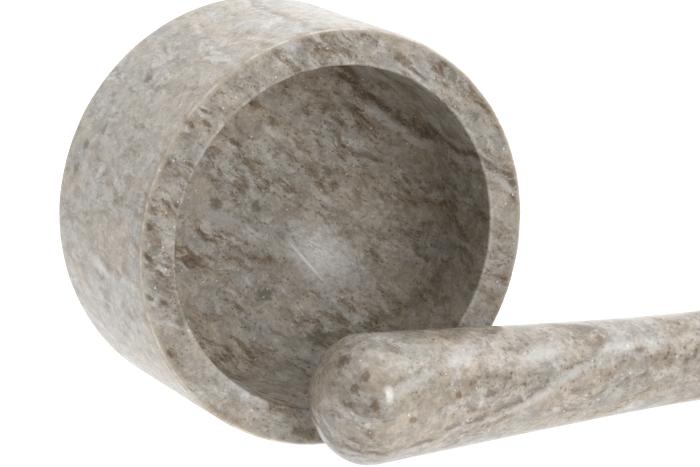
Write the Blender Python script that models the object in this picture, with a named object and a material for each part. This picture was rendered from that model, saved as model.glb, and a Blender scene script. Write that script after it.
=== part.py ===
"""A stone mortar lying on its side, and the pestle that leans against its rim.

Metres, +Z up. Both pieces rest on z = 0. The mortar's axis runs along Y and its mouth faces -Y.
The pestle lies in front of the mouth with its handle towards +X. The origin is on the resting
surface, under the middle of the pair's bounding box.
"""

import math
from itertools import product

import bpy
from mathutils import Matrix, Vector
from mathutils.geometry import interpolate_bezier

# Mortar: a straight-sided round block of stone with a bowl turned into one end.
MORTAR_DIAMETER = 0.120
MORTAR_HEIGHT = 0.0595
MORTAR_WALL = 0.0109
MORTAR_FLOOR = 0.0110  # base to the deepest point of the bowl
BOWL_CORNER_RADIUS = 0.0200  # the hollow corner between the bowl's wall and its floor
BOWL_DISH = 0.0020  # how far the floor's middle lies below that corner's lowest level
RIM_OUTER_ROUND = 0.0012
RIM_INNER_ROUND = 0.0008
BASE_ROUND = 0.0016

# Pestle: a turned club. Lengths run along its axis from the head's widest section.
HEAD_DIAMETER = 0.0369
NOSE_LENGTH = 0.0150
WAIST_DIAMETER = 0.0264
WAIST_FROM_HEAD = 0.1120
END_DIAMETER = 0.0278  # the slight swell that the hand holds
END_FROM_WAIST = 0.0270
END_LENGTH = 0.0110

# How the pestle lies against the mortar.
HEAD_SHORT_OF_AXIS = 0.0009  # the head's widest section lies this far to -X of the mortar's axis
RIM_GAP = 0.0003

# Facets. Both counts are multiples of four, so the lowest line of each piece is a row of corners.
MORTAR_SIDES = 72
PESTLE_SIDES = 40
EDGE_STEPS = 3
CORNER_STEPS = 8
DISH_STEPS = 3
NOSE_STEPS = 9
TAPER_STEPS = 12
SWELL_STEPS = 5
END_STEPS = 7

# Warm grey marble, honed on the mortar and a little lighter and glossier on the pestle.
MORTAR_COLOUR = (0.33, 0.29, 0.24, 1.0)
PESTLE_COLOUR = (0.37, 0.33, 0.28, 1.0)

# Bezier handles, as shares of the stretch that they shape.
ROUND_HANDLE = 0.5523  # of a quarter ellipse's half axis
TAPER_LEAVING_HEAD = 0.05
TAPER_BEFORE_WAIST = 0.24
SWELL_HANDLE = 0.5


def clear_scene():
    for obj in list(bpy.data.objects):
        bpy.data.objects.remove(obj, do_unlink=True)


def stone(name, colour, roughness):
    material = bpy.data.materials.new(name)
    material.use_nodes = True
    shader = material.node_tree.nodes["Principled BSDF"]
    shader.inputs["Base Color"].default_value = colour
    shader.inputs["Roughness"].default_value = roughness
    shader.inputs["Metallic"].default_value = 0.0
    return material


def arc(centre, radius, start, end, steps):
    """Points of (distance from the axis, height) on an arc, with its angles in degrees from outwards."""
    angles = [math.radians(start + (end - start) * i / steps) for i in range(steps + 1)]
    return [(centre[0] + radius * math.cos(a), centre[1] + radius * math.sin(a)) for a in angles]


def mortar_outline():
    """The mortar's half section from the middle of its base, round the outside, into the bowl."""
    outer = MORTAR_DIAMETER / 2
    bore = outer - MORTAR_WALL
    corner_centre = (bore - BOWL_CORNER_RADIUS, MORTAR_FLOOR + BOWL_DISH + BOWL_CORNER_RADIUS)
    # The dished floor is an arc that meets the corner where the corner's slope equals its own.
    lean = 2 * math.degrees(math.atan2(BOWL_DISH, corner_centre[0]))
    corner = arc(corner_centre, BOWL_CORNER_RADIUS, 0, lean - 90, CORNER_STEPS)
    edge, low = corner[-1]
    drop = low - MORTAR_FLOOR
    dish_radius = (edge**2 + drop**2) / (2 * drop)
    dish_lean = math.degrees(math.asin(edge / dish_radius))
    dish_centre = (0, MORTAR_FLOOR + dish_radius)
    rim_outer = (outer - RIM_OUTER_ROUND, MORTAR_HEIGHT - RIM_OUTER_ROUND)
    rim_inner = (bore + RIM_INNER_ROUND, MORTAR_HEIGHT - RIM_INNER_ROUND)
    return (
        [(0, 0)]
        + arc((outer - BASE_ROUND, BASE_ROUND), BASE_ROUND, -90, 0, EDGE_STEPS)
        + arc(rim_outer, RIM_OUTER_ROUND, 0, 90, EDGE_STEPS)
        + arc(rim_inner, RIM_INNER_ROUND, 90, 180, EDGE_STEPS)
        + corner
        + arc(dish_centre, dish_radius, dish_lean - 90, -90, DISH_STEPS)[1:-1]
        + [(0, MORTAR_FLOOR)]
    )


def bezier(start, start_handle, end_handle, end, steps):
    corners = [Vector(point) for point in (start, start_handle, end_handle, end)]
    return [(point.x, point.y) for point in interpolate_bezier(*corners, steps + 1)]


def pestle_outline():
    """The pestle's half section from the tip of its nose to its end."""
    head = HEAD_DIAMETER / 2
    waist = WAIST_DIAMETER / 2
    end = END_DIAMETER / 2
    swell_at = WAIST_FROM_HEAD + END_FROM_WAIST
    tip_at = swell_at + END_LENGTH
    nose = bezier(
        (0, -NOSE_LENGTH),
        (head * ROUND_HANDLE, -NOSE_LENGTH),
        (head, -NOSE_LENGTH * (1 - ROUND_HANDLE)),
        (head, 0),
        NOSE_STEPS,
    )
    taper = bezier(
        (head, 0),
        (head, WAIST_FROM_HEAD * TAPER_LEAVING_HEAD),
        (waist, WAIST_FROM_HEAD * (1 - TAPER_BEFORE_WAIST)),
        (waist, WAIST_FROM_HEAD),
        TAPER_STEPS,
    )
    swell = bezier(
        (waist, WAIST_FROM_HEAD),
        (waist, WAIST_FROM_HEAD + END_FROM_WAIST * SWELL_HANDLE),
        (end, swell_at - END_FROM_WAIST * SWELL_HANDLE),
        (end, swell_at),
        SWELL_STEPS,
    )
    cap = bezier(
        (end, swell_at),
        (end, tip_at - END_LENGTH * (1 - ROUND_HANDLE)),
        (end * ROUND_HANDLE, tip_at),
        (0, tip_at),
        END_STEPS,
    )
    return nose + taper[1:] + swell[1:] + cap[1:]


def turned(name, outline, sides, material):
    """A solid of revolution about its own Z axis, from an outline that starts and ends on that axis."""
    mesh = bpy.data.meshes.new(name)
    points = [(radius, 0, height) for radius, height in outline]
    mesh.from_pydata(points, [(i, i + 1) for i in range(len(points) - 1)], [])
    mesh.materials.append(material)
    obj = bpy.data.objects.new(name, mesh)
    bpy.context.scene.collection.objects.link(obj)
    screw = obj.modifiers.new("Turn", "SCREW")
    screw.axis = "Z"
    screw.angle = 2 * math.pi
    screw.steps = sides
    screw.render_steps = sides
    screw.use_merge_vertices = True
    screw.merge_threshold = 0.00001
    screw.use_normal_flip = True
    screw.use_smooth_shade = True
    return obj


def lean_against(outline, station):
    """The lean of a turned piece's axis when a flat surface touches it on both sides of a station.

    A straight edge laid over the station touches the outline at the pair of points whose line
    passes furthest out there.
    """
    before = [point for point in outline if point[1] < station]
    beyond = [point for point in outline if point[1] > station]

    def radius_over_station(pair):
        (radius, at), (far_radius, far_at) = pair
        return radius + (far_radius - radius) * (station - at) / (far_at - at)

    (radius, at), (far_radius, far_at) = max(product(before, beyond), key=radius_over_station)
    return math.atan2(radius - far_radius, far_at - at)


def reach(outline, along):
    """How far a turned piece reaches from its origin in a direction at this cosine to its axis."""
    across = math.sqrt(1 - along**2)
    return max(height * along + radius * across for radius, height in outline)


def place_pair(mortar, pestle, outline):
    """Lays both pieces on z = 0 with the pestle against the rim, centred on the origin."""
    mortar_radius = MORTAR_DIAMETER / 2
    bore = mortar_radius - MORTAR_WALL

    # Head and end rest on the surface, and the waist between them is clear of it.
    lean = lean_against(outline, WAIST_FROM_HEAD)
    axis_height = reach(outline, math.sin(lean))

    # The side of the pestle lies along the rim's plane and meets the rim where the mouth ends beside it.
    half_mouth = math.sqrt(max(bore**2 - (mortar_radius - axis_height) ** 2, 0))
    beside_rim = [point for point in outline if point[1] < mortar_radius + HEAD_SHORT_OF_AXIS]
    turn = lean_against(beside_rim, half_mouth + HEAD_SHORT_OF_AXIS)
    pose = Matrix.Rotation(turn, 4, "Z") @ Matrix.Rotation(math.radians(90) + lean, 4, "Y")
    axis = pose.to_3x3() @ Vector((0, 0, 1))

    # The pair's box, measured from the pestle's widest section.
    to_front = reach(outline, -axis.y)
    to_rim = reach(beside_rim, axis.y) + RIM_GAP
    to_right = reach(outline, axis.x) - HEAD_SHORT_OF_AXIS
    centre_x = (mortar_radius - to_right) / 2
    rim_y = (to_front + to_rim - MORTAR_HEIGHT) / 2

    facing_front = Matrix.Rotation(math.radians(90), 4, "X")
    mortar.matrix_world = Matrix.Translation((centre_x, rim_y + MORTAR_HEIGHT, mortar_radius)) @ facing_front
    widest = (centre_x - HEAD_SHORT_OF_AXIS, rim_y - to_rim, axis_height)
    pestle.matrix_world = Matrix.Translation(widest) @ pose


def main():
    clear_scene()
    outline = pestle_outline()
    mortar = turned("mortar", mortar_outline(), MORTAR_SIDES, stone("mortar_marble", MORTAR_COLOUR, 0.45))
    pestle = turned("pestle", outline, PESTLE_SIDES, stone("pestle_marble", PESTLE_COLOUR, 0.30))
    place_pair(mortar, pestle, outline)


main()
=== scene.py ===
"""The looks of a stone mortar, lying on its side, and of the pestle that leans on its rim.

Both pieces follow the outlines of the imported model, with worn edges and small chips. They are cut
from the same warm grey marble, which is a pattern of nodes in each piece's own coordinates.
"""

import math
from collections import defaultdict

import bpy
from mathutils import Matrix, Vector, noise
from mathutils.geometry import interpolate_bezier


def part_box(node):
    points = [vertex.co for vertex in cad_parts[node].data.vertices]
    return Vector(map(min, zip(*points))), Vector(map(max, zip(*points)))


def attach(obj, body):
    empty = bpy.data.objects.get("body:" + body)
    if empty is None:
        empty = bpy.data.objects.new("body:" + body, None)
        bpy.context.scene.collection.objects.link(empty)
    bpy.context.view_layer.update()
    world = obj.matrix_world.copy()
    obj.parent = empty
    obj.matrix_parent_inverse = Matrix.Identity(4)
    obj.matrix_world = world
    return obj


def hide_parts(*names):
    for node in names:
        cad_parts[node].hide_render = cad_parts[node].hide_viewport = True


MM = 0.001
CLOSE = 0.01 * MM  # a point this near to a line counts as on it

# Mesh. Both counts keep a piece under 200,000 triangles.
MORTAR_SIDES = 450
PESTLE_SIDES = 300
RING_PITCH = 1.25 * MM
STEPS_IN_A_ROUND = 4  # rings in each of the model's own steps round a curve
STRAIGHT = 5  # a stretch this many times longer than its neighbour is straight
EDGE_STEP = 1.0 * MM  # the model's steps round an edge are shorter than this

# Wear. It only takes stone away.
WAVE_SIZE = 17 * MM
WAVE_DEPTH = 0.07 * MM
EDGE_REACH = 1.3 * MM
EDGE_WEAR = 0.10 * MM
EDGE_WEAR_SIZE = 6 * MM
NICK_DEPTH = 0.75 * MM
NICK_SIZE = 1.5 * MM
NICKS_START = 0.38  # noise above this makes a nick
CHIP_ROUGHNESS_SIZE = 0.6 * MM
FAR = 1.0  # stands for the distance to an edge on a piece that has none

# Chips in the rim: (degrees round the mouth, distance in from its outer edge, reach, depth)
CHIPS = [
    (141, 0.0 * MM, 1.9 * MM, 0.7 * MM),
    (166, 0.0 * MM, 1.1 * MM, 0.3 * MM),
    (24, 0.0 * MM, 1.3 * MM, 0.3 * MM),
    (262, 0.0 * MM, 1.4 * MM, 0.4 * MM),
    (83, 11.0 * MM, 1.2 * MM, 0.5 * MM),
    (79, 11.1 * MM, 0.8 * MM, 0.4 * MM),
    (103, 11.1 * MM, 0.8 * MM, 0.3 * MM),
    (200, 10.9 * MM, 1.0 * MM, 0.4 * MM),
]


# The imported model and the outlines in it.

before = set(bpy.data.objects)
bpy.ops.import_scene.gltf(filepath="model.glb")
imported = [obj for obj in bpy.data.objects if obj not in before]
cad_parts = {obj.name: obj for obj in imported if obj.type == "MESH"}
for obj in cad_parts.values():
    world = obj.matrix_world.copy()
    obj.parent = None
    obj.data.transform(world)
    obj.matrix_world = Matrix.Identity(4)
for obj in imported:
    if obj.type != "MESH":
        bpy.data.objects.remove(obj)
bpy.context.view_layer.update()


def upright(origin, axis):
    """A frame at origin with +Z along axis, and +Y as near to straight up as it goes."""
    along = axis.normalized()
    across = Vector((0, 0, 1)).cross(along).normalized()
    up = along.cross(across)
    return Matrix.Translation(origin) @ Matrix((across, up, along)).transposed().to_4x4()


def mortar_pose():
    """The middle of the mouth, with +Z out of the bowl."""
    low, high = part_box("mortar")
    middle = (low + high) / 2
    return upright(Vector((middle.x, low.y, middle.z)), Vector((0, -1, 0)))


def pestle_pose():
    """The tip of the nose, with +Z along the axis. The two tips are the points furthest apart."""
    points = [vertex.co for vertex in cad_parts["pestle"].data.vertices]
    middle = sum(points, Vector()) / len(points)
    one = max(points, key=lambda point: (point - middle).length)
    other = max(points, key=lambda point: (point - one).length)
    nose, end = sorted((one, other), key=lambda point: point.x)
    return upright(nose, end - nose)


def cad_outline(node, pose):
    """The half section of a turned CAD node as (radius, height) points in its own frame.

    It starts at the lowest point on the axis and follows the outside.
    """
    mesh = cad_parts[node].data
    places = [pose.inverted() @ vertex.co for vertex in mesh.vertices]
    spoke = max(places, key=lambda place: place.xy.length).xy.normalized()
    points = {
        index: (round(place.xy.length, 6), round(place.z, 6))
        for index, place in enumerate(places)
        if (place.xy - place.xy.length * spoke).length < CLOSE
    }
    links = defaultdict(set)
    for edge in mesh.edges:
        a, b = [points.get(index) for index in edge.vertices]
        if a and b and a != b:
            links[a].add(b)
            links[b].add(a)
    ends = [point for point, others in links.items() if len(others) == 1]
    outline = [min(ends, key=lambda point: point[1])]
    while onward := links[outline[-1]] - set(outline):
        outline.append(onward.pop())
    if outline[0][0] > 0:
        outline.insert(0, (0.0, outline[0][1]))
    if outline[-1][0] > 0:
        outline.append((0.0, outline[-1][1]))
    return [Vector(point) for point in outline]


def outer_radius(outline):
    return max(point.x for point in outline)


# Turned meshes.


def tangents(outline):
    """The direction of a smooth curve at each of an outline's points.

    At both ends it is square to the axis.
    """
    found = [Vector((1, 0))]
    for before, point, after in zip(outline, outline[1:], outline[2:]):
        come, go = point - before, after - point
        if come.length > STRAIGHT * go.length:
            found.append(come.normalized())
        elif go.length > STRAIGHT * come.length:
            found.append(go.normalized())
        else:
            found.append((come / come.length_squared + go / go.length_squared).normalized())
    return found + [Vector((-1, 0))]


def rings(outline):
    """(point, direction) of each ring, on a smooth curve through the outline's points.

    On a straight stretch the rings gather towards both ends, where the edges are.
    """
    found = []
    directions = tangents(outline)
    lengths = [(b - a).length for a, b in zip(outline, outline[1:])]
    for i, length in enumerate(lengths):
        steps = max(STEPS_IN_A_ROUND, math.ceil(length / RING_PITCH))
        start, end = outline[i], outline[i + 1]
        handle = length / 3
        curve = interpolate_bezier(
            start, start + directions[i] * handle, end - directions[i + 1] * handle, end, steps + 1
        )
        straight = length > STRAIGHT * min(lengths[max(i - 1, 0) : i + 2])
        for step in range(steps):
            share = step / steps
            if straight:
                share = (1 - math.cos(math.pi * share)) / 2
                found.append((start.lerp(end, share), (end - start).normalized()))
            else:
                direction = directions[i].lerp(directions[i + 1], share).normalized()
                found.append((curve[step].xy, direction))
    return found + [(outline[-1], directions[-1])]


def edge_points(outline):
    """The middle points of the model's small rounded edges."""
    return [
        point
        for before, point, after in zip(outline, outline[1:], outline[2:])
        if (point - before).length < EDGE_STEP and (after - point).length < EDGE_STEP
    ]


def wear(place, to_edge, chips):
    """How far the surface has gone into the stone at a place. Each chip is (centre, reach, depth)."""
    depth = WAVE_DEPTH * (0.5 + 0.5 * noise.noise(place / WAVE_SIZE))
    near = math.exp(-((to_edge / EDGE_REACH) ** 2))
    if near > 0.01:
        rubbed = EDGE_WEAR * (1 + noise.noise(place / EDGE_WEAR_SIZE))
        nicks = NICK_DEPTH * max(noise.noise(place / NICK_SIZE) - NICKS_START, 0)
        depth += near * (rubbed + nicks)
    for centre, reach, deepest in chips:
        apart = (place - centre).length / reach
        if apart < 1:
            rough = 0.75 + 0.5 * noise.noise(place / CHIP_ROUGHNESS_SIZE)
            depth += deepest * (1 - apart**2) * rough
    return depth


def turned(name, outline, sides, pose, chips=()):
    """A closed turned piece, worn at its edges. pose takes its own frame to the row frame."""
    edges = edge_points(outline)
    turns = [2 * math.pi * i / sides for i in range(sides)]
    spokes = [Vector((math.cos(turn), math.sin(turn), 0)) for turn in turns]
    vertices = []
    starts = []
    for point, direction in rings(outline):
        inward = Vector((-direction.y, direction.x))
        to_edge = min([(point - edge).length for edge in edges], default=FAR)
        starts.append(len(vertices))
        for spoke in spokes if point.x > 0 else spokes[:1]:
            place = spoke * point.x + Vector((0, 0, point.y))
            inwards = spoke * inward.x * (point.x > 0) + Vector((0, 0, inward.y))
            vertices.append(place + wear(place, to_edge, chips) * inwards)
    faces = []
    for i in range(sides):
        j = (i + 1) % sides
        faces.append((starts[0], starts[1] + j, starts[1] + i))
        for low, high in zip(starts[1:-2], starts[2:-1]):
            faces.append((low + i, low + j, high + j, high + i))
        faces.append((starts[-2] + i, starts[-2] + j, starts[-1]))
    mesh = bpy.data.meshes.new(name)
    mesh.from_pydata(vertices, [], faces)
    mesh.transform(pose)
    mesh.shade_smooth()
    piece = bpy.data.objects.new(name, mesh)
    bpy.context.scene.collection.objects.link(piece)
    return piece


# Node helpers.


class Nodes:
    """One node tree. add returns the node that it adds, and the others return a socket to go on from."""

    def __init__(self, tree):
        self.tree = tree
        tree.nodes.clear()

    def add(self, kind, inputs, **settings):
        """A node of this kind. An input that is a socket is linked, and any other is set."""
        node = self.tree.nodes.new("ShaderNode" + kind)
        for name, value in settings.items():
            setattr(node, name, value)
        for name, value in inputs.items():
            if isinstance(value, bpy.types.NodeSocket):
                self.tree.links.new(value, node.inputs[name])
            else:
                node.inputs[name].default_value = value
        return node

    def math(self, operation, first, second=0.0):
        return self.add("Math", {0: first, 1: second}, operation=operation).outputs[0]

    def vector_math(self, operation, first, second):
        return self.add("VectorMath", {0: first, 1: second}, operation=operation).outputs[0]

    def dot(self, first, second):
        node = self.add("VectorMath", {0: first, 1: second}, operation="DOT_PRODUCT")
        return node.outputs["Value"]

    def length(self, vector):
        return self.add("VectorMath", {0: vector}, operation="LENGTH").outputs["Value"]

    def apart(self, first, second):
        node = self.add("VectorMath", {0: first, 1: second}, operation="DISTANCE")
        return node.outputs["Value"]

    def noise(self, place, size, detail=2.0, roughness=0.5):
        inputs = {"Vector": place, "Scale": 1 / size, "Detail": detail, "Roughness": roughness}
        return self.add("TexNoise", inputs).outputs[0]

    def warped(self, place, size, distance):
        """place, pushed to and fro by up to about half a distance."""
        inputs = {"Vector": place, "Scale": 1 / size, "Detail": 2.0}
        push = self.add("TexNoise", inputs).outputs["Color"]
        centred = self.vector_math("SUBTRACT", push, (0.5, 0.5, 0.5))
        scaled = self.vector_math("MULTIPLY", centred, (distance, distance, distance))
        return self.vector_math("ADD", place, scaled)

    def bedded(self, place, normal, thinner):
        """place, stretched along the bedding's normal, so that a pattern on it lies in thin beds."""
        inputs = {0: normal, "Scale": self.dot(place, normal)}
        extra = self.add("VectorMath", inputs, operation="SCALE").outputs[0]
        stretched = self.vector_math("MULTIPLY", extra, (thinner - 1,) * 3)
        return self.vector_math("ADD", place, stretched)

    def rise(self, value, low, high, start=0.0, end=1.0):
        """A smooth step from start to end as value goes from low to high."""
        inputs = {"Value": value, "From Min": low, "From Max": high, "To Min": start, "To Max": end}
        return self.add("MapRange", inputs, interpolation_type="SMOOTHSTEP").outputs[0]

    def blend(self, share, first, second, kind="MIX"):
        node = self.add("Mix", {0: share, 6: first, 7: second}, data_type="RGBA", blend_type=kind)
        return node.outputs[2]

    def tint(self, colour, low, high, share):
        """colour times a grey from low to high, as share goes from 0 to 1."""
        grey = self.rise(share, 0.0, 1.0, low, high)
        return self.blend(1.0, colour, grey, "MULTIPLY")

    def patch(self, place, centre, size, slant=(0, 0, 0)):
        """Distance from a patch's centre, as a share of its half sizes, which are in millimetres."""
        inputs = {
            "Vector": place,
            "Location": [x * MM for x in centre],
            "Rotation": slant,
            "Scale": [x * MM for x in size],
        }
        local = self.add("Mapping", inputs, vector_type="TEXTURE").outputs[0]
        return self.length(local)

    def nearest(self, distances):
        found = distances[0]
        for distance in distances[1:]:
            found = self.math("MINIMUM", found, distance)
        return found


# Marble.

WARM = (0.415, 0.361, 0.293, 1)
COOL = (0.402, 0.379, 0.342, 1)
PALE = (0.545, 0.530, 0.510, 1)
STAIN = (0.226, 0.167, 0.104, 1)
BROWN = (0.092, 0.056, 0.030, 1)
OLIVE = (0.150, 0.138, 0.095, 1)
RUST = (0.140, 0.090, 0.052, 1)
WHITE = (0.860, 0.855, 0.840, 1)
TAN = (0.520, 0.425, 0.310, 1)

# How each piece was cut from the stone: the normal of its beds, where the vein crosses that normal,
# and the spacing of the dark grains.
MORTAR_BEDDING = (0.62, 0.78, 0.05)
MORTAR_VEIN = 43 * MM
MORTAR_GRAIN = 1.4 * MM
PESTLE_BEDDING = (-0.48, 0.84, -0.24)
PESTLE_VEIN = -6.2 * MM
PESTLE_GRAIN = 1.9 * MM

# Finish: roughness, index of refraction, and a relief that bends the light but moves nothing.
HONED = 0.48
POLISHED = 0.27
RUBBED_EXTRA = 0.12
MORTAR_IOR = 1.5
MORTAR_RELIEF = 0.05 * MM
PESTLE_POLISH = (0.13, 0.22)
PESTLE_HEAD_EXTRA = 0.04
PESTLE_IOR = 1.65
PESTLE_RELIEF = 0.015 * MM
PESTLE_SPARKLES_FROM = (0.31, 0.17, 0.0)  # far enough away to be unlike the mortar's
PESTLE_TONE = (0.90, 0.89, 0.88, 1)
# Painted shade for the bowl's upper right, multiplied into the stone's colour.
UPPER_BOWL_SHADE = (0.81, 0.79, 0.75, 1)


def grains(nodes, place, spacing, radius, amount):
    """Small ragged grains in some of the cells of a scatter. amount is how many, from 0 to 1."""
    ragged = nodes.warped(place, 0.8 * MM, 0.7 * MM)
    cells = nodes.add("TexVoronoi", {"Vector": ragged, "Scale": 1 / spacing}).outputs
    luck = nodes.add("SeparateColor", {0: cells["Color"]}).outputs
    chosen = nodes.rise(nodes.math("SUBTRACT", amount, luck["Red"]), -0.04, 0.04)
    edge = nodes.rise(luck["Green"], 0.0, 1.0, 0.6 * radius / spacing, 1.4 * radius / spacing)
    inner = nodes.math("MULTIPLY", edge, 0.1)
    return nodes.math("MULTIPLY", nodes.rise(cells["Distance"], edge, inner), chosen)


def marble(nodes, place, bedding, grain_size, vein_at, strength):
    """The stone's colour, and where its dark grains are.

    bedding is the normal of the stone's beds. grain_size is the spacing of its dark grains. vein_at
    is where one strong vein crosses that normal: a broken brown seam with a pale band under it.
    strength is how strongly everything dark shows. Each layer is painted over the ones before it.
    """
    flowing = nodes.warped(place, 12 * MM, 6 * MM)
    beds = nodes.bedded(flowing, bedding, 3.4)
    clouds = nodes.rise(nodes.noise(beds, 30 * MM, 4.0, 0.6), 0.40, 0.60)
    colour = nodes.blend(clouds, WARM, COOL)

    # Pale beds, and the soft mottle of the crystals.
    pale = nodes.rise(nodes.noise(nodes.bedded(flowing, bedding, 5.0), 22 * MM, 4.0, 0.6), 0.50, 0.64)
    broken = nodes.rise(nodes.noise(flowing, 6 * MM, 4.0, 0.65), 0.36, 0.60, 0.1, 0.8)
    colour = nodes.blend(nodes.math("MULTIPLY", pale, broken), colour, PALE)
    mottle = nodes.noise(place, 4.2 * MM, 4.0, 0.65)
    colour = nodes.tint(colour, 0.84, 1.14, nodes.rise(mottle, 0.34, 0.66))
    fine = nodes.noise(place, 1.2 * MM, 3.0, 0.7)
    colour = nodes.tint(colour, 0.88, 1.12, nodes.rise(fine, 0.30, 0.70))

    # The vein.
    from_vein = nodes.math("SUBTRACT", nodes.dot(flowing, bedding), vein_at)
    fading = nodes.rise(nodes.noise(flowing, 13 * MM, 2.0), 0.30, 0.52)
    band = nodes.math("ABSOLUTE", nodes.math("ADD", from_vein, 2.0 * MM))
    band = nodes.math("MULTIPLY", nodes.rise(band, 1.8 * MM, 0.3 * MM, 0.0, 0.9), broken)
    colour = nodes.blend(band, colour, PALE)
    seam = nodes.rise(nodes.math("ABSOLUTE", from_vein), 1.6 * MM, 0.2 * MM)
    dashes = nodes.rise(nodes.noise(flowing, 3.2 * MM, 4.0, 0.7), 0.38, 0.52)
    seam = nodes.math("MULTIPLY", seam, nodes.math("MULTIPLY", fading, dashes))

    # Brown stains, in ragged streaks that are thickest in some of the beds and along the vein.
    thick = nodes.rise(nodes.noise(beds, 26 * MM, 3.0, 0.55), 0.38, 0.60, 0.25, 1.0)
    streaks = nodes.noise(nodes.bedded(flowing, bedding, 3.0), 7.5 * MM, 7.0, 0.74)
    stain = nodes.math("MULTIPLY", nodes.rise(streaks, 0.465, 0.575), thick)
    stain = nodes.math("MAXIMUM", stain, seam)
    core = nodes.math("MULTIPLY", nodes.rise(streaks, 0.57, 0.65), stain)
    core = nodes.math("MAXIMUM", core, nodes.math("MULTIPLY", seam, 0.7))
    stained = nodes.math("MULTIPLY", strength, 0.62)
    deep = nodes.math("MULTIPLY", strength, 0.55)
    colour = nodes.blend(nodes.math("MULTIPLY", stain, stained), colour, STAIN)
    colour = nodes.blend(nodes.math("MULTIPLY", core, deep), colour, BROWN)

    # Dark grains, which crowd in the stains.
    crowd = nodes.math("ADD", nodes.math("MULTIPLY", stain, 0.55), nodes.math("MULTIPLY", thick, 0.22))
    squeezed = nodes.bedded(place, bedding, 1.5)
    dark = grains(nodes, squeezed, grain_size, 0.40 * grain_size, crowd)
    small = grains(nodes, place, 0.62 * grain_size, 0.26 * grain_size, nodes.math("ADD", crowd, 0.05))
    colour = nodes.blend(nodes.math("MULTIPLY", small, deep), colour, BROWN)
    colour = nodes.blend(nodes.math("MULTIPLY", dark, stained), colour, BROWN)
    return colour, nodes.math("MAXIMUM", dark, small)


# The largest marks, in millimetres: (degrees round the axis, distance from it, height, half sizes)

MORTAR_SPOTS_AND_SHADE = [
    (170, 58, 0, (2.2, 1.6, 3)),
    (177, 56, 0, (2.4, 1.9, 3)),
    (181, 57, 0, (2.2, 0.9, 3)),
    (193, 55, 0, (1.5, 1.3, 3)),
    (200, 51, 0, (1.7, 2.8, 4)),
    (35, 54, 0, (2.0, 1.6, 3)),
    (50, 57, 0, (1.8, 2.6, 3)),
    (174, 15, -48, (2.4, 2.7, 3)),
    (200, 2, -48, (2.2, 2.3, 3)),
    (20, 22, -47, (2.2, 2.0, 3)),
    (-90, 27, -47, (3.6, 2.4, 4)),
    # Partly a real olive blotch and partly painted shadow of the pestle's head, which lies beside it.
    (-71, 43, -41, (5.0, 2.2, 4)),
    (184, 46, -28, (3.0, 5.0, 7)),
    (151, 60, -41, (3.0, 2.0, 1.4)),
]
STREAKS_ROUND_RIM = [
    (58, (54, 140, 170, 190, 207)),
    (57, (6, 13, 179)),
    (54, (137, 163, 184, 193)),
    (51, (18, 163)),
]
RIM_STREAKS = [
    (turn, distance, 0, (2.0, 0.9, 2)) for distance, turns in STREAKS_ROUND_RIM for turn in turns
]
SIDE_STREAKS = [
    (157, 60, -48, (3.0, 1.8, 2.1)),
    (164, 60, -50, (3.0, 1.8, 2.1)),
    (134, 60, -35, (3.0, 1.8, 2.1)),
]
BOWL_STREAKS = [
    (115, 21, -48, (2.6, 1.1, 3)),
    (212, 28, -47, (3.4, 2.0, 4)),
]
BOWL_BANDS = [
    (207, 11, -48, (22, 2.6, 5)),
    (-47, 25, -48, (14, 3.0, 5)),
    (3, 26, -47, (2.0, 1.6, 3)),
]
PESTLE_SPOTS = [
    (147, 13, 5, (1.5, 1.5, 1.5)),
    (139, 16, 8, (1.7, 1.7, 1.6)),
    (168, 16, 9, (2.1, 2.0, 1.5)),
    (175, 15, 7, (1.4, 1.2, 1.3)),
    (199, 16, 8, (1.8, 1.6, 1.8)),
    (106, 14, 6, (2.4, 1.8, 2.6)),
    (119, 18, 19, (2.2, 1.6, 2.8)),
    (186, 18, 20, (1.5, 1.2, 1.8)),
    (147, 18, 23, (1.7, 1.7, 1.6)),
    (169, 17, 35, (1.6, 1.4, 1.9)),
    (172, 17, 46, (1.5, 1.2, 2.2)),
    (146, 14, 100, (1.6, 1.2, 2.2)),
]
PESTLE_BANDS = [
    (155, 18, 20, (6.0, 2.2, 11.0)),
    (131, 17, 40, (6.0, 2.8, 9.0)),
    (138, 16, 66, (6.0, 2.8, 11.0)),
    (164, 17, 75, (6.0, 2.0, 13.0)),
]

# The seam across the bowl's wall is straight as seen from the mouth. It passes nearest to the axis
# at this turn, in degrees, and this distance. Its marks reach up and down the wall from this height.
SEAM_TURN = 51
SEAM_DISTANCE = 43.3
SEAM_HEIGHT = -36

# How the marks slant round the mortar's axis, or across the pestle.
STREAK_SLANT = (0, 0, -0.67)
BOWL_BAND_SLANT = (0, 0, -0.5)
SEAM_BAND_SLANT = (0, 0, -0.6)
PESTLE_BAND_SLANT = (-0.28, 0, 0)


def seam_marks(turns, aside, length):
    """Marks along the seam, or beside it by aside millimetres away from the axis."""
    found = []
    for turn in turns:
        distance = (SEAM_DISTANCE + aside) / math.cos(math.radians(turn - SEAM_TURN))
        found.append((turn, distance, SEAM_HEIGHT, (length, 1.3, 12)))
    return found


def blotches(nodes, place, colour, spots, tone, strength, slant=(0, 0, 0)):
    """Ragged patches of one tone. slant is each one's turn about the piece's X, Y and Z, in radians."""
    found = []
    for turn, distance, height, size in spots:
        angle = math.radians(turn)
        centre = (distance * math.cos(angle), distance * math.sin(angle), height)
        found.append(nodes.patch(place, centre, size, slant))
    ragged = nodes.noise(place, 1.6 * MM, 3.0, 0.7)
    distance = nodes.math("ADD", nodes.nearest(found), nodes.math("MULTIPLY", ragged, 1.9))
    mottled = nodes.rise(nodes.noise(place, 1.1 * MM, 3.0, 0.7), 0.35, 0.60, 0.65 * strength, strength)
    share = nodes.math("MULTIPLY", nodes.rise(distance, 2.05, 1.40), mottled)
    return nodes.blend(share, colour, tone)


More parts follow.
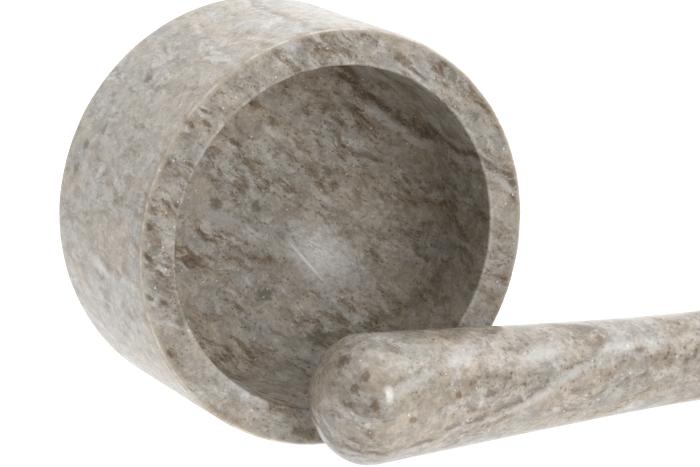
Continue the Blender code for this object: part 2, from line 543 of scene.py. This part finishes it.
def painted_glints(nodes, place, colour):
    """Painted glints on tiny crystals, in the middles of a few of the cells of a scatter."""
    cells = nodes.add("TexVoronoi", {"Vector": place, "Scale": 1 / (2.3 * MM)}).outputs
    few = nodes.rise(cells["Color"], 0.64, 0.68)
    glints = nodes.math("MULTIPLY", nodes.rise(cells["Distance"], 0.16, 0.08), few)
    # The glints are painted white into the colour.
    return nodes.blend(nodes.math("MULTIPLY", glints, 0.6), colour, WHITE)


def grainy(nodes, place, size, roughness, dark, pit_depth):
    """A fine relief with the dark grains sunk into it."""
    pits = nodes.math("MULTIPLY", dark, pit_depth)
    return nodes.math("SUBTRACT", nodes.noise(place, size, 3.0, roughness), pits)


def finish_stone(nodes, colour, roughness, height, relief, ior):
    """The shader and its output. height is in shares of relief."""
    shader = nodes.add("BsdfPrincipled", {"Base Color": colour, "Roughness": roughness, "IOR": ior})
    bump = nodes.add("Bump", {"Strength": 1.0, "Distance": relief, "Height": height})
    nodes.tree.links.new(bump.outputs[0], shader.inputs["Normal"])
    nodes.add("OutputMaterial", {"Surface": shader.outputs[0]})


def new_material(name):
    """A material, and the nodes to fill it with."""
    material = bpy.data.materials.new(name)
    material.use_nodes = True
    return material, Nodes(material.node_tree)


def own_place(nodes, pose):
    """The place in a piece's own frame, which has +Z along its axis."""
    inputs = {
        "Vector": nodes.add("TexCoord", {}).outputs["Object"],
        "Location": pose.translation,
        "Rotation": pose.to_euler(),
    }
    return nodes.add("Mapping", inputs, vector_type="TEXTURE").outputs[0]


def mortar_painted_shade(nodes, place, axes, colour, rim, bowl):
    """Painted shade and light: the rim is darker, most at its sides; the bowl is darker near its mouth
    and at its upper right, and paler on its floor.
    """
    # Painted shade over the rim, deeper at its sides.
    colour = nodes.tint(colour, 1.0, 0.88, rim)
    sideways = nodes.rise(nodes.math("ABSOLUTE", axes["X"]), 25 * MM, 55 * MM)
    colour = nodes.tint(colour, 1.0, 0.89, nodes.math("MULTIPLY", rim, sideways))
    # Painted shade on the bowl's wall near the mouth, and painted light on its floor.
    deeper = nodes.rise(axes["Z"], -18 * MM, -42 * MM, 0.82, 1.12)
    colour = nodes.blend(bowl, colour, nodes.tint(colour, 0.0, 1.0, deeper))
    # Painted shade towards the bowl's upper right.
    upwards = nodes.rise(nodes.dot(place, (0.6, 0.8, 0)), 0.0, 42 * MM)
    darker = nodes.blend(1.0, colour, UPPER_BOWL_SHADE, "MULTIPLY")
    return nodes.blend(nodes.math("MULTIPLY", bowl, upwards), colour, darker)


def mortar_marks(nodes, place, colour):
    """The largest spots, one of them partly painted shadow, streaks and bands, and the marks along the
    seam.
    """
    colour = blotches(nodes, place, colour, MORTAR_SPOTS_AND_SHADE, OLIVE, 0.9)
    seam = seam_marks((24, 30, 37, 45, 58), 0, 4.4)
    streaks = RIM_STREAKS + SIDE_STREAKS + BOWL_STREAKS + seam
    colour = blotches(nodes, place, colour, streaks, BROWN, 0.85, STREAK_SLANT)
    colour = blotches(nodes, place, colour, BOWL_BANDS, PALE, 0.4, BOWL_BAND_SLANT)
    under_seam = seam_marks((21, 28, 36), -2.6, 5.0)
    return blotches(nodes, place, colour, under_seam, PALE, 0.75, SEAM_BAND_SLANT)


def scuffs_and_highlight(nodes, place, colour, floor):
    """A haze of fine scratches on the bowl's floor, whitened further as a painted highlight, and one
    longer scratch.
    """
    height = floor / MM
    haze = nodes.patch(place, (18.5, -16.5, height), (16, 11, 9), (0, 0, -0.7))
    haze = nodes.math("ADD", haze, nodes.noise(place, 3 * MM, 3.0, 0.6))
    scratches = nodes.noise(nodes.bedded(place, (0.64, 0.77, 0), 5.0), 1.8 * MM, 5.0, 0.8)
    # The powder is partly real scuffing and partly a painted highlight on the floor.
    powder_and_highlight = nodes.rise(scratches, 0.42, 0.58, 0.40, 1.0)
    powder_and_highlight = nodes.math("MULTIPLY", powder_and_highlight, nodes.rise(haze, 1.6, 0.5))
    scratch = nodes.patch(place, (13.9, -18.8, height), (10.0, 0.7, 9), (0, 0, -0.88))
    broken = nodes.rise(scratches, 0.30, 0.50)
    scratch = nodes.math("MULTIPLY", nodes.rise(scratch, 1.3, 0.3), broken)
    return nodes.blend(nodes.math("MAXIMUM", powder_and_highlight, scratch), colour, WHITE)


def edge_lines(nodes, place, colour, section, outer, inner, base):
    """Warm lines along the outer edges, and thinner pale ones along the mouth's edges, a painted
    highlight where the rounded edges catch the light.
    """
    mouth_edge = nodes.apart(section, (outer, 0, 0))
    base_edge = nodes.apart(section, (outer, base, 0))
    inside_edge = nodes.apart(section, (inner, 0, 0))
    warm = nodes.rise(nodes.math("MINIMUM", mouth_edge, base_edge), 2.0 * MM, 0.9 * MM, 0.0, 0.45)
    colour = nodes.blend(warm, colour, TAN)
    # Painted highlight along the mouth's outer edge and, fainter, its inner edge, in patches.
    highlight_patches = nodes.rise(nodes.noise(place, 9 * MM, 4.0, 0.7), 0.40, 0.60, 0.25, 0.85)
    pale = nodes.rise(mouth_edge, 1.0 * MM, 0.4 * MM)
    pale = nodes.math("MAXIMUM", pale, nodes.rise(inside_edge, 0.8 * MM, 0.2 * MM, 0.0, 0.15))
    return nodes.blend(nodes.math("MULTIPLY", pale, highlight_patches), colour, WHITE)


def mortar_stone(outline, pose):
    """Marble that is polished round the side, honed on the rim and base, and rubbed in the bowl."""
    material, nodes = new_material("mortar_marble")
    place = own_place(nodes, pose)
    axes = nodes.add("SeparateXYZ", {0: place}).outputs
    radius = nodes.length(nodes.vector_math("MULTIPLY", place, (1, 1, 0)))
    section = nodes.add("CombineXYZ", {0: radius, 1: axes["Z"]}).outputs[0]
    outer = outer_radius(outline)
    inner = min(point.x for point in outline if point.y > -CLOSE)
    floor = outline[-1].y
    base = outline[0].y

    side = nodes.rise(radius, outer - 0.8 * MM, outer - 0.3 * MM)
    bowl = nodes.rise(axes["Z"], base + 5 * MM, base + 6 * MM)
    bowl = nodes.math("MULTIPLY", bowl, nodes.rise(radius, inner, inner - 0.8 * MM))
    rim = nodes.rise(axes["Z"], -1.2 * MM, -0.5 * MM)

    # The rim and the bowl show the dark parts more strongly than the side and base do.
    strength = nodes.rise(nodes.math("MAXIMUM", rim, bowl), 0.0, 1.0, 0.95, 1.30)
    colour, dark = marble(nodes, place, MORTAR_BEDDING, MORTAR_GRAIN, MORTAR_VEIN, strength)
    colour = mortar_painted_shade(nodes, place, axes, colour, rim, bowl)
    colour = mortar_marks(nodes, place, colour)
    colour = scuffs_and_highlight(nodes, place, colour, floor)
    colour = edge_lines(nodes, place, colour, section, outer, inner, base)
    colour = painted_glints(nodes, place, colour)

    roughness = nodes.rise(side, 0.0, 1.0, HONED, POLISHED)
    roughness = nodes.math("ADD", roughness, nodes.math("MULTIPLY", bowl, RUBBED_EXTRA))
    mottled = nodes.rise(nodes.noise(place, 2.0 * MM, 3.0), 0.3, 0.7, -0.07, 0.07)
    roughness = nodes.math("ADD", roughness, mottled)

    height = grainy(nodes, place, 0.7 * MM, 0.7, dark, 0.5)
    height = nodes.math("MULTIPLY", height, nodes.rise(side, 0.0, 1.0, 1.0, 0.25))
    finish_stone(nodes, colour, roughness, height, MORTAR_RELIEF, MORTAR_IOR)
    return material


def pestle_stone(pose):
    """The same marble, polished all over, with the head rubbed a little duller."""
    material, nodes = new_material("pestle_marble")
    place = own_place(nodes, pose)
    height_on_axis = nodes.add("SeparateXYZ", {0: place}).outputs["Z"]
    strength = 0.95
    colour, dark = marble(nodes, place, PESTLE_BEDDING, PESTLE_GRAIN, PESTLE_VEIN, strength)
    colour = nodes.blend(1.0, colour, PESTLE_TONE, "MULTIPLY")
    colour = blotches(nodes, place, colour, PESTLE_SPOTS, RUST, 0.8)
    colour = blotches(nodes, place, colour, PESTLE_BANDS, PALE, 0.65, PESTLE_BAND_SLANT)
    colour = painted_glints(nodes, nodes.vector_math("ADD", place, PESTLE_SPARKLES_FROM), colour)

    rubbed = nodes.rise(height_on_axis, 14 * MM, 4 * MM, 0.0, PESTLE_HEAD_EXTRA)
    mottled = nodes.rise(nodes.noise(place, 2.5 * MM, 3.0), 0.3, 0.7, *PESTLE_POLISH)
    roughness = nodes.math("ADD", mottled, rubbed)
    height = grainy(nodes, place, 1.2 * MM, 0.6, dark, 0.6)
    finish_stone(nodes, colour, roughness, height, PESTLE_RELIEF, PESTLE_IOR)
    return material


# The pieces.


def build_mortar():
    pose = mortar_pose()
    outline = cad_outline("mortar", pose)
    outer = outer_radius(outline)
    chips = [
        (Matrix.Rotation(math.radians(turn), 3, "Z") @ Vector((outer - inset, 0, 0)), reach, depth)
        for turn, inset, reach, depth in CHIPS
    ]
    piece = turned("mortar_block", outline, MORTAR_SIDES, pose, chips)
    piece.data.materials.append(mortar_stone(outline, pose))
    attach(piece, "mortar")
    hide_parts("mortar")


def build_pestle():
    pose = pestle_pose()
    piece = turned("pestle_club", cad_outline("pestle", pose), PESTLE_SIDES, pose)
    piece.data.materials.append(pestle_stone(pose))
    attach(piece, "pestle")
    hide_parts("pestle")


# The studio.

WHITE_LIGHT = (1, 1, 1, 1)

# The floor's glow rises between two lines in front of the object, measured away from the camera.
FLOOR_HALF = 6.0
FLOOR_GREY = (0.30, 0.30, 0.30, 1)
FLOOR_GLOW = 0.95
FLOOR_GLOW_IN_FRONT = 0.10
AWAY_FROM_CAMERA = (0.15, 0.99, 0.0)
GLOW_RISES = (-0.26, -0.10)

# The surroundings rise from dim to bright as they turn towards one direction.
BRIGHT = 1.38
DIM = 0.10
TOWARDS_BRIGHT = (0.35, 0.60, 0.72)
BRIGHTNESS_RISES = (-0.12, 0.60)  # cosines to that direction

# (name, direction from the mouth, distance, size, watts)
SOFTBOXES = [
    ("front_softbox", Vector((0.10, -0.95, 0.30)), 0.9, (0.38, 0.48), 3.6),
    ("top_softbox", Vector((0.50, -0.40, 0.80)), 1.0, (0.60, 0.60), 1.7),
]

CAMERA_FROM_MOUTH = Vector((-0.39777, -0.78916, 0.21941))
CAMERA_LOOKS_DOWN = 13.840  # degrees
CAMERA_LOOKS_RIGHT = 26.994  # degrees from straight back along +Y
CAMERA_LENS = 167.24  # millimetres
CAMERA_SENSOR = 36  # millimetres across


def add_floor():
    """A pale table that glows like a light table, and looks white to the camera all over.

    The light that it throws on the object is dim from in front.
    """
    corners = [(x * FLOOR_HALF, y * FLOOR_HALF, 0) for x, y in ((-1, -1), (1, -1), (1, 1), (-1, 1))]
    mesh = bpy.data.meshes.new("floor")
    mesh.from_pydata(corners, [], [(0, 1, 2, 3)])
    floor = bpy.data.objects.new("floor", mesh)
    bpy.context.scene.collection.objects.link(floor)
    material, nodes = new_material("white_table")
    place = nodes.add("TexCoord", {}).outputs["Object"]
    away = nodes.dot(place, AWAY_FROM_CAMERA)
    glow = nodes.rise(away, *GLOW_RISES, FLOOR_GLOW_IN_FRONT, FLOOR_GLOW)
    seen = nodes.add("LightPath", {}).outputs["Is Camera Ray"]
    glow = nodes.math("MAXIMUM", glow, nodes.math("MULTIPLY", seen, FLOOR_GLOW))
    inputs = {
        "Base Color": FLOOR_GREY,
        "Roughness": 0.9,
        "Specular IOR Level": 0.0,
        "Emission Color": WHITE_LIGHT,
        "Emission Strength": glow,
    }
    shader = nodes.add("BsdfPrincipled", inputs)
    nodes.add("OutputMaterial", {"Surface": shader.outputs[0]})
    mesh.materials.append(material)


def add_surroundings():
    """Surroundings that look white to the camera all over.

    The light that they throw on the object is brightest from above and behind, and dim from in front.
    """
    world = bpy.data.worlds.new("studio")
    world.use_nodes = True
    nodes = Nodes(world.node_tree)
    direction = nodes.add("TexCoord", {}).outputs["Generated"]
    facing = nodes.dot(direction, TOWARDS_BRIGHT)
    strength = nodes.rise(facing, *BRIGHTNESS_RISES, DIM, BRIGHT)
    seen = nodes.add("LightPath", {}).outputs["Is Camera Ray"]
    strength = nodes.math("MAXIMUM", strength, nodes.math("MULTIPLY", seen, BRIGHT))
    background = nodes.add("Background", {"Color": WHITE_LIGHT, "Strength": strength})
    nodes.add("OutputWorld", {"Surface": background.outputs[0]})
    bpy.context.scene.world = world


def add_softbox(name, target, direction, distance, size, power):
    """A rectangular light that faces target from that direction."""
    lamp = bpy.data.lights.new(name, "AREA")
    lamp.shape = "RECTANGLE"
    lamp.size, lamp.size_y = size
    lamp.energy = power
    box = bpy.data.objects.new(name, lamp)
    box.matrix_world = upright(target + direction.normalized() * distance, direction)
    bpy.context.scene.collection.objects.link(box)


def add_camera(mouth):
    """A long lens, placed from the middle of the mortar's mouth."""
    camera = bpy.data.objects.new("camera", bpy.data.cameras.new("camera"))
    camera.data.sensor_width = CAMERA_SENSOR
    camera.data.lens = CAMERA_LENS
    camera.location = mouth + CAMERA_FROM_MOUTH
    camera.rotation_euler = (
        math.radians(90 - CAMERA_LOOKS_DOWN),
        0,
        math.radians(-CAMERA_LOOKS_RIGHT),
    )
    bpy.context.scene.collection.objects.link(camera)
    bpy.context.scene.camera = camera


def main():
    bpy.context.scene.view_settings.view_transform = "Standard"
    mouth = mortar_pose().translation
    add_camera(mouth)
    add_floor()
    add_surroundings()
    for name, direction, distance, size, power in SOFTBOXES:
        add_softbox(name, mouth, direction, distance, size, power)
    build_mortar()
    build_pestle()


main()
